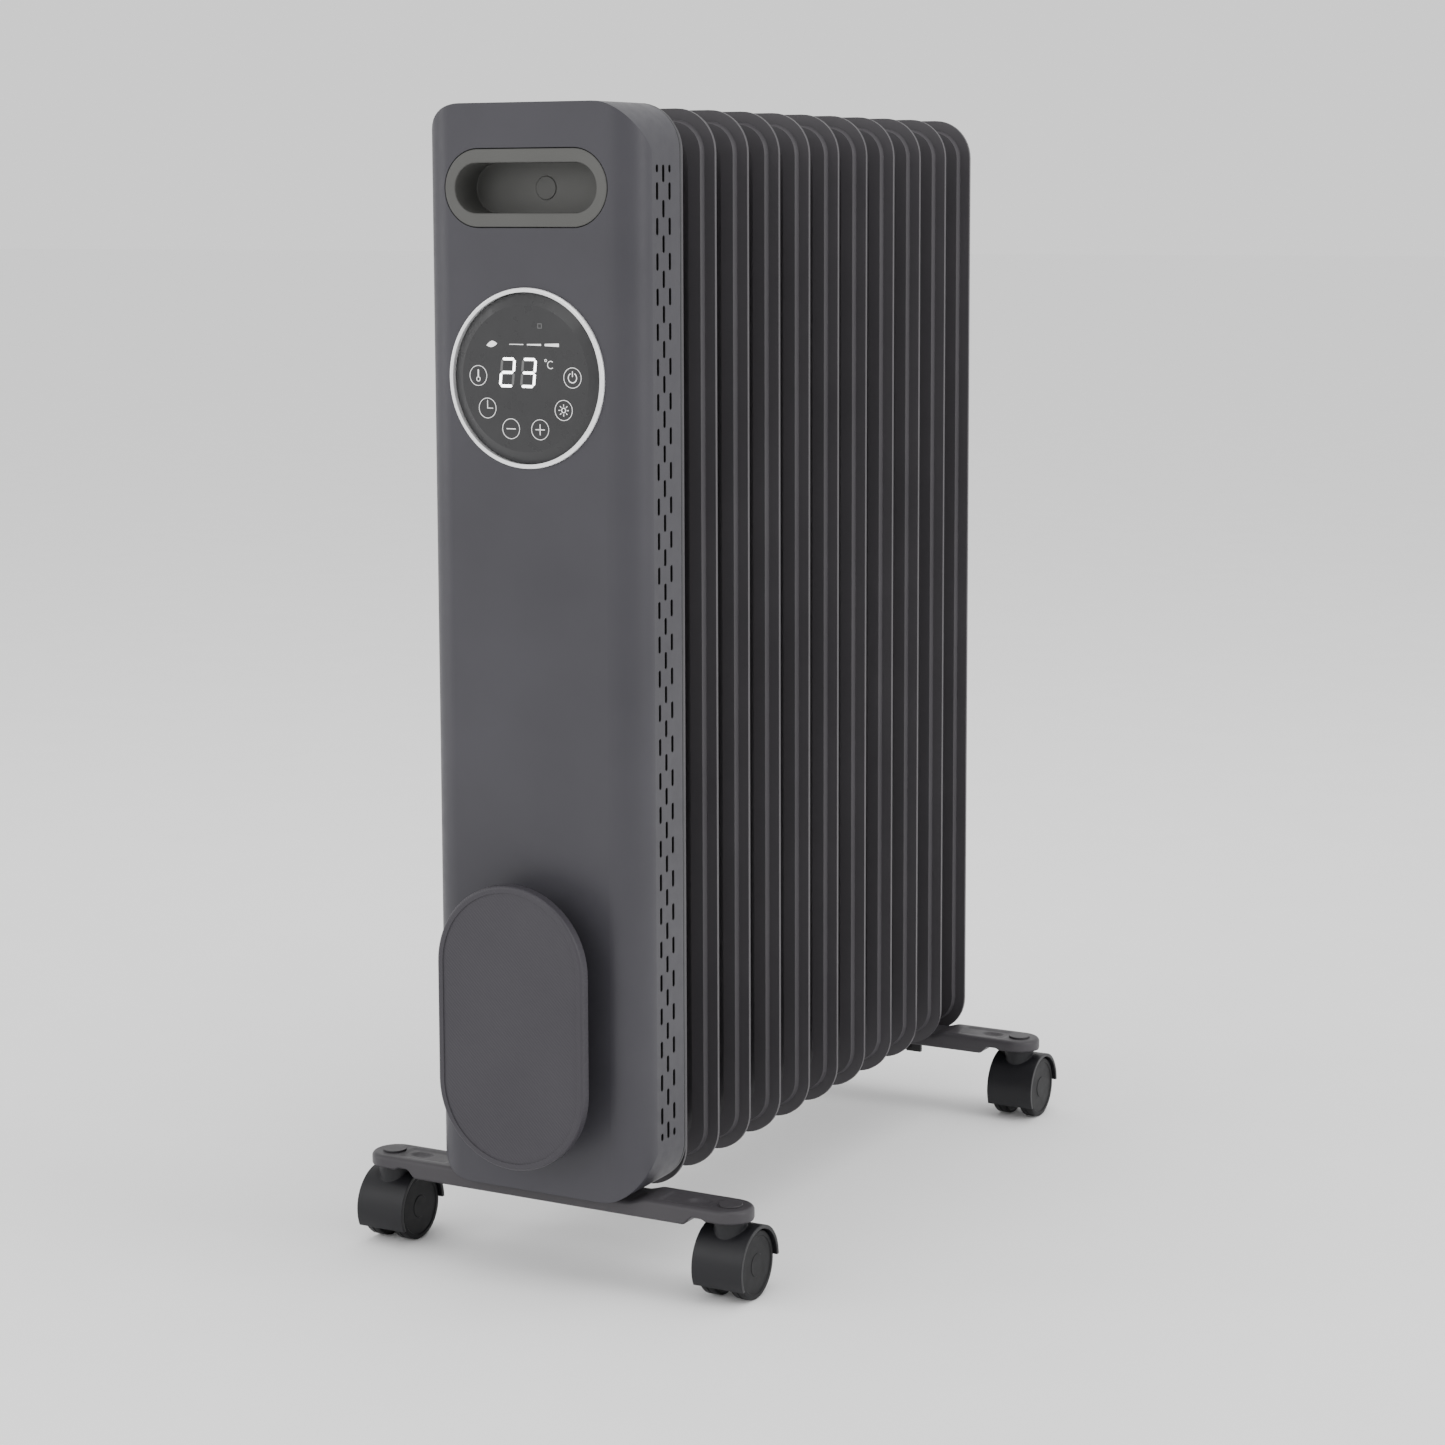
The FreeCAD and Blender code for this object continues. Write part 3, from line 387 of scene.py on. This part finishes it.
BAR_HALF_WIDTH = 13.5
BAR_EDGE = 2.4
CHANNEL_DEPTH = 0.6
DIMPLE_X, DIMPLE_HALF_LENGTH, DIMPLE_HALF_WIDTH, DIMPLE_DEPTH = 88, 6.5, 4.2, 1.5
MIDDLE_DROP = 2.3
UNDERSIDE_RISE, END_LIP = 4.5, 1.2
UNDERSIDE_EDGE = 0.8


def smooth_step(value, low, high):
    t = min(max((value - low) / (high - low), 0), 1)
    return t * t * (3 - 2 * t)


def bar_top_drop(x, y, half_length, half_width):
    """How far the bar's top lies below its highest level, in millimetres."""
    x, y = abs(x), abs(y)
    from_edge = half_width - y
    if x > half_length - half_width:
        from_edge = half_width - math.hypot(x - (half_length - half_width), y)
    from_edge = max(from_edge, 0)
    drop = 0.0
    if from_edge < BAR_EDGE:
        drop = BAR_EDGE - math.sqrt(BAR_EDGE ** 2 - (BAR_EDGE - from_edge) ** 2)
    channel = smooth_step(x, 67, 69) * (1 - smooth_step(x, 97, 99)) * (1 - smooth_step(y, 7.2, 8.4))
    dimple = max(0, 1 - math.hypot((x - DIMPLE_X) / DIMPLE_HALF_LENGTH, y / DIMPLE_HALF_WIDTH) ** 2)
    hollow = drop + CHANNEL_DEPTH * channel + DIMPLE_DEPTH * math.sqrt(dimple) * channel
    return hollow + MIDDLE_DROP * (1 - smooth_step(x, 50, 61))


def bar_underside(x):
    """Height of the bar's underside above its lowest level, in millimetres."""
    return UNDERSIDE_RISE * smooth_step(abs(x), 84, 90) - END_LIP * smooth_step(abs(x), 95, 98)


def foot_bar(name, low, top, middle_y, steps=30):
    """A lofted bar: a closed section at each station along X, with the stations closest at the ends."""
    half_length, half_width = -low[0] / MM, BAR_HALF_WIDTH
    right_half = [0, 20, 40, 48] + [50 + i for i in range(65)]
    right_half += [half_length - d for d in (3.0, 2.4, 1.8, 1.3, 0.9, 0.5, 0.25, 0.08, 0.01)]
    stations = [-x for x in reversed(right_half[1:])] + right_half
    points, faces = [], []
    for x in stations:
        beyond = max(0, abs(x) - (half_length - half_width))
        half = math.sqrt(max(half_width ** 2 - beyond ** 2, 0.0001))
        section = []
        for i in range(steps + 1):
            y = half * math.sin(math.pi / 2 * (2 * i / steps - 1))
            section.append((y, top / MM - bar_top_drop(x, y, half_length, half_width)))
        for i in range(steps + 1):
            y = half * math.sin(math.pi / 2 * (1 - 2 * i / steps)) * 0.999
            from_edge = half - abs(y)
            rounding = UNDERSIDE_EDGE * (1 - smooth_step(from_edge, 0, UNDERSIDE_EDGE))
            section.append((y, low[2] / MM + bar_underside(x) + rounding))
        points += [(x * MM, middle_y + y * MM, z * MM) for y, z in section]
    count = 2 * (steps + 1)
    for ring_start in range(0, len(points) - count, count):
        for i in range(count):
            j = (i + 1) % count
            faces.append([ring_start + i, ring_start + j, ring_start + count + j, ring_start + count + i])
    faces.append(list(range(count))[::-1])
    faces.append(list(range(len(points) - count, len(points))))
    bar = new_mesh(name, points, faces, 34)
    bar.data.flip_normals()
    return bar


SADDLE_HALF_LENGTH, SADDLE_HALF_DEPTH, SADDLE_EDGE, SADDLE_BASE = 20 * MM, 8 * MM, 0.8 * MM, 7 * MM
CRADLE_GAP = 0.1 * MM
CRADLE_STEPS = 40


def saddle_block(name, low, high, middle_y):
    """The rear bar's block, hollowed at the top to take the header collar."""
    collar_low, collar_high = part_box("header_collars_bottom")
    centre_z = (collar_low[2] + collar_high[2]) / 2
    radius = (collar_high[2] - collar_low[2]) / 2 + CRADLE_GAP
    half, edge = SADDLE_HALF_LENGTH, SADDLE_EDGE
    base, top = low[2] + SADDLE_BASE, high[2]
    reach = 1.5
    if top < centre_z:
        reach = math.asin(min(1, math.sqrt(radius ** 2 - (centre_z - top) ** 2) / radius))
    cradle = []
    for i in range(CRADLE_STEPS + 1):
        angle = reach * (1 - 2 * i / CRADLE_STEPS)
        x, z = radius * math.sin(angle), centre_z - radius * math.cos(angle)
        if abs(x) < half - edge:
            cradle.append((x, z))
    outline = [(-half, base), (half, base), (half, top - edge), (half - edge, top)] + cradle
    outline += [(-half + edge, top), (-half, top - edge)]
    points = []
    for y in (middle_y - SADDLE_HALF_DEPTH, middle_y + SADDLE_HALF_DEPTH):
        points += [(x, y, z) for x, z in outline]
    count = len(outline)
    faces = [list(range(count)), list(range(count, 2 * count))[::-1]]
    for i in range(count):
        j = (i + 1) % count
        faces.append([j, i, count + i, count + j])
    return new_mesh(name, points, faces, 34)


cap_low, cap_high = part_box("stem_caps")
for end in ("front", "rear"):
    low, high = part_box("foot_bar_" + end)
    middle_y = (low[1] + high[1]) / 2
    bar = foot_bar("foot_bar_%s_moulded" % end, low, cap_low[2], middle_y)
    add_piece(bar, foot, "heater")
    if end == "rear":
        saddle = saddle_block("foot_bar_rear_saddle", low, high, middle_y)
        add_piece(saddle, foot, "heater")
    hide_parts("foot_bar_" + end)


# ---- display: figures, level bars, leaf and six touch keys -------------------------------------

lens_low, lens_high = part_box("display_lens")
lens_z = (lens_low[2] + lens_high[2]) / 2 + 1.0 * MM
DIGIT_LEFT = {"2": -15.2, "3": -2.4}
DIGIT_BOTTOM, DIGIT_WIDTH, DIGIT_HEIGHT, DIGIT_STROKE, DIGIT_GAP = -5.0, 7.6, 14.0, 1.4, 0.25
DIGIT_THICK, UNLIT_THICK, SIGN_THICK, WINDOW_THICK = 0.00008, 0.00003, 0.00006, 0.00004
SLANT = 0.10
SEGMENTS = {
    "2": ("top", "upper_right", "middle", "lower_left", "bottom"),
    "3": ("top", "upper_right", "middle", "lower_right", "bottom"),
    "unlit": ("top", "upper_left", "upper_right", "middle", "lower_left", "lower_right", "bottom"),
}


def seven_segment(relief, figure, left):
    """One slanted figure made of six-sided bars with small gaps between them."""
    bottom, height, gap, half = DIGIT_BOTTOM, DIGIT_HEIGHT, DIGIT_GAP, DIGIT_HEIGHT / 2
    right = left + DIGIT_WIDTH
    ends = {
        "top": ((left, bottom + height), (right, bottom + height)),
        "middle": ((left, bottom + half), (right, bottom + half)),
        "bottom": ((left, bottom), (right, bottom)),
        "upper_left": ((left, bottom + half), (left, bottom + height)),
        "upper_right": ((right, bottom + half), (right, bottom + height)),
        "lower_left": ((left, bottom), (left, bottom + half)),
        "lower_right": ((right, bottom), (right, bottom + half)),
    }
    for segment in SEGMENTS[figure]:
        (x0, z0), (x1, z1) = ends[segment]
        s = DIGIT_STROKE / 2
        if z0 == z1:
            outline = [(x0 + gap, z0), (x0 + gap + s, z0 - s), (x1 - gap - s, z0 - s), (x1 - gap, z0),
                       (x1 - gap - s, z0 + s), (x0 + gap + s, z0 + s)]
        else:
            outline = [(x0, z0 + gap), (x0 + s, z0 + gap + s), (x0 + s, z1 - gap - s), (x0, z1 - gap),
                       (x0 - s, z1 - gap - s), (x0 - s, z0 + gap + s)]
        relief.prism([(x + SLANT * (z - bottom), z) for x, z in outline])


digits = Relief(lens_low[1], 0, lens_z, DIGIT_THICK)
for figure, left in DIGIT_LEFT.items():
    seven_segment(digits, figure, left)
add_piece(digits.build("display_figures"), digit_light, "heater")

# Unlit segments, with a faint painted glow.
unlit = Relief(lens_low[1], 0, lens_z, UNLIT_THICK)
for left in DIGIT_LEFT.values():
    seven_segment(unlit, "unlit", left)
add_piece(unlit.build("display_unlit_segments"), faint_painted_glow, "heater")

LEVEL_BARS = ((-9.4, 0.3, 0.45), (1.35, 0.6, 0.9), (12.1, 1.1, 1.7))
LEVEL_LENGTH, LEVEL_Z = 8.5, 16.6
LEAF_LEFT, LEAF_BASE, LEAF_LENGTH, LEAF_RISE, LEAF_STEPS = -23.4, 15.8, 6.6, 1.0, 10


def leaf_edge(bulge, steps):
    """Points along one edge of the leaf, which bulges to one side of its rising midrib."""
    edge = []
    for t in steps:
        rise = LEAF_BASE + LEAF_RISE * t / LEAF_STEPS + bulge * math.sin(math.pi * t / LEAF_STEPS)
        edge.append((LEAF_LEFT + LEAF_LENGTH * t / LEAF_STEPS, rise))
    return edge


signs = Relief(lens_low[1], 0, lens_z, SIGN_THICK)
for left, thin, thick in LEVEL_BARS:
    right = left + LEVEL_LENGTH
    signs.prism([(left, LEVEL_Z - thin / 2), (right, LEVEL_Z - thick / 2), (right, LEVEL_Z + thick / 2),
                 (left, LEVEL_Z + thin / 2)])
signs.prism(leaf_edge(-1.3, range(1, LEAF_STEPS)) + leaf_edge(1.9, range(LEAF_STEPS + 1))[::-1])
signs.ring(12.6, 8.6, 0.6, 0.3, 24)
signs.arc(15.6, 6.4, 1.9, 0.38, 50, 310)
KEY_RADIUS, KEY_REACH, KEY_STEP, KEY_STROKE = 5.2, 28.6, -36, 0.27
key_angles = [math.radians(KEY_STEP * k) for k in range(6)]
keys = [(KEY_REACH * math.cos(a), KEY_REACH * math.sin(a)) for a in key_angles]
for x, z in keys:
    signs.ring(x, z, KEY_RADIUS, KEY_STROKE)
power, sun, plus, minus, clock, thermometer = keys
signs.arc(power[0], power[1], 2.5, 0.45, 120, 420)
signs.line((power[0], power[1] + 0.5), (power[0], power[1] + 3.4), 0.45)
signs.ring(sun[0], sun[1], 1.2, 0.45, 24)
for k in range(8):
    a = math.pi * k / 4
    signs.line((sun[0] + 2.0 * math.cos(a), sun[1] + 2.0 * math.sin(a)),
               (sun[0] + 3.1 * math.cos(a), sun[1] + 3.1 * math.sin(a)), 0.4)
signs.line((plus[0] - 2.8, plus[1]), (plus[0] + 2.8, plus[1]), 0.42)
signs.line((plus[0], plus[1] + 0.25), (plus[0], plus[1] + 2.8), 0.42)
signs.line((plus[0], plus[1] - 2.8), (plus[0], plus[1] - 0.25), 0.42)
signs.line((minus[0] - 2.8, minus[1]), (minus[0] + 2.8, minus[1]), 0.42)
signs.line((clock[0], clock[1] - 0.2), (clock[0], clock[1] + 4.2), 0.36)
signs.line((clock[0] + 0.2, clock[1]), (clock[0] + 3.4, clock[1]), 0.36)
signs.ring(thermometer[0], thermometer[1] - 1.8, 1.1, 0.36, 24)
signs.line((thermometer[0], thermometer[1] - 0.5), (thermometer[0], thermometer[1] + 3.2), 0.7)
add_piece(signs.build("display_signs"), sign_light, "heater")

# Receiver window, with a faint painted glow.
sensor_window = Relief(lens_low[1], 0, lens_z, WINDOW_THICK)
sensor_window.prism([(7.8, 25.0), (10.4, 25.0), (10.4, 27.6), (7.8, 27.6)],
                    [(8.2, 25.4), (10.0, 25.4), (10.0, 27.2), (8.2, 27.2)])
add_piece(sensor_window.build("receiver_window"), faint_painted_glow, "heater")


# ---- floor, light and camera --------------------------------------------------------------------

def stage_plane(name, half_x, half_y):
    points = [(-half_x, -half_y, 0), (half_x, -half_y, 0), (half_x, half_y, 0), (-half_x, half_y, 0)]
    plane = new_mesh(name, points, [[0, 1, 2, 3]])
    paint(plane, floor_paint)


stage_plane("floor", 30, 30)

world = bpy.data.worlds.new("studio")
world.use_nodes = True
world.node_tree.nodes["Background"].inputs["Color"].default_value = (1, 1, 1, 1)
world.node_tree.nodes["Background"].inputs["Strength"].default_value = 1.15
bpy.context.scene.world = world


def area_light(name, place, target, width, height, power):
    light = bpy.data.lights.new(name, "AREA")
    light.shape = "RECTANGLE"
    light.size, light.size_y, light.energy = width, height, power
    lamp = bpy.data.objects.new(name, light)
    lamp.location = place
    lamp.rotation_euler = (Vector(target) - Vector(place)).to_track_quat("-Z", "Y").to_euler()
    bpy.context.scene.collection.objects.link(lamp)


area_light("key_right", (2.4, 0.1, 1.3), (0, 0, 0.3), 1.2, 1.8, 26)
area_light("fill_front", (-0.6, -2.6, 1.5), (0, -0.2, 0.3), 1.6, 1.6, 18)
area_light("edge_left", (-2.2, -1.6, 0.9), (0, -0.2, 0.35), 0.8, 1.6, 14)
area_light("top_soft", (0.2, 0.2, 2.6), (0, 0, 0.3), 2.0, 2.0, 20)

CAMERA_PLACE = (0.875934, -1.613039, 0.573662)
CAMERA_AZIMUTH, CAMERA_PITCH, CAMERA_ROLL = 28.427, 7.126, -0.182
SENSOR_WIDTH, LENS_LENGTH, LENS_SHIFT = 36, 79.51478, -0.0847751
camera = bpy.data.objects.new("camera", bpy.data.cameras.new("camera"))
bpy.context.scene.collection.objects.link(camera)
bpy.context.scene.camera = camera
azimuth, pitch, roll = (math.radians(a) for a in (CAMERA_AZIMUTH, CAMERA_PITCH, CAMERA_ROLL))
forward = Vector((-math.sin(azimuth) * math.cos(pitch), math.cos(azimuth) * math.cos(pitch),
                  -math.sin(pitch)))
level = Vector((math.cos(azimuth), math.sin(azimuth), 0))
upright = level.cross(forward)
right = level * math.cos(roll) + upright * math.sin(roll)
up = upright * math.cos(roll) - level * math.sin(roll)
turn = Matrix((right, up, -forward)).transposed()
camera.matrix_world = Matrix.Translation(CAMERA_PLACE) @ turn.to_4x4()
camera.data.sensor_width = SENSOR_WIDTH
camera.data.lens = LENS_LENGTH
camera.data.shift_y = LENS_SHIFT
camera.data.clip_start, camera.data.clip_end = 0.05, 200
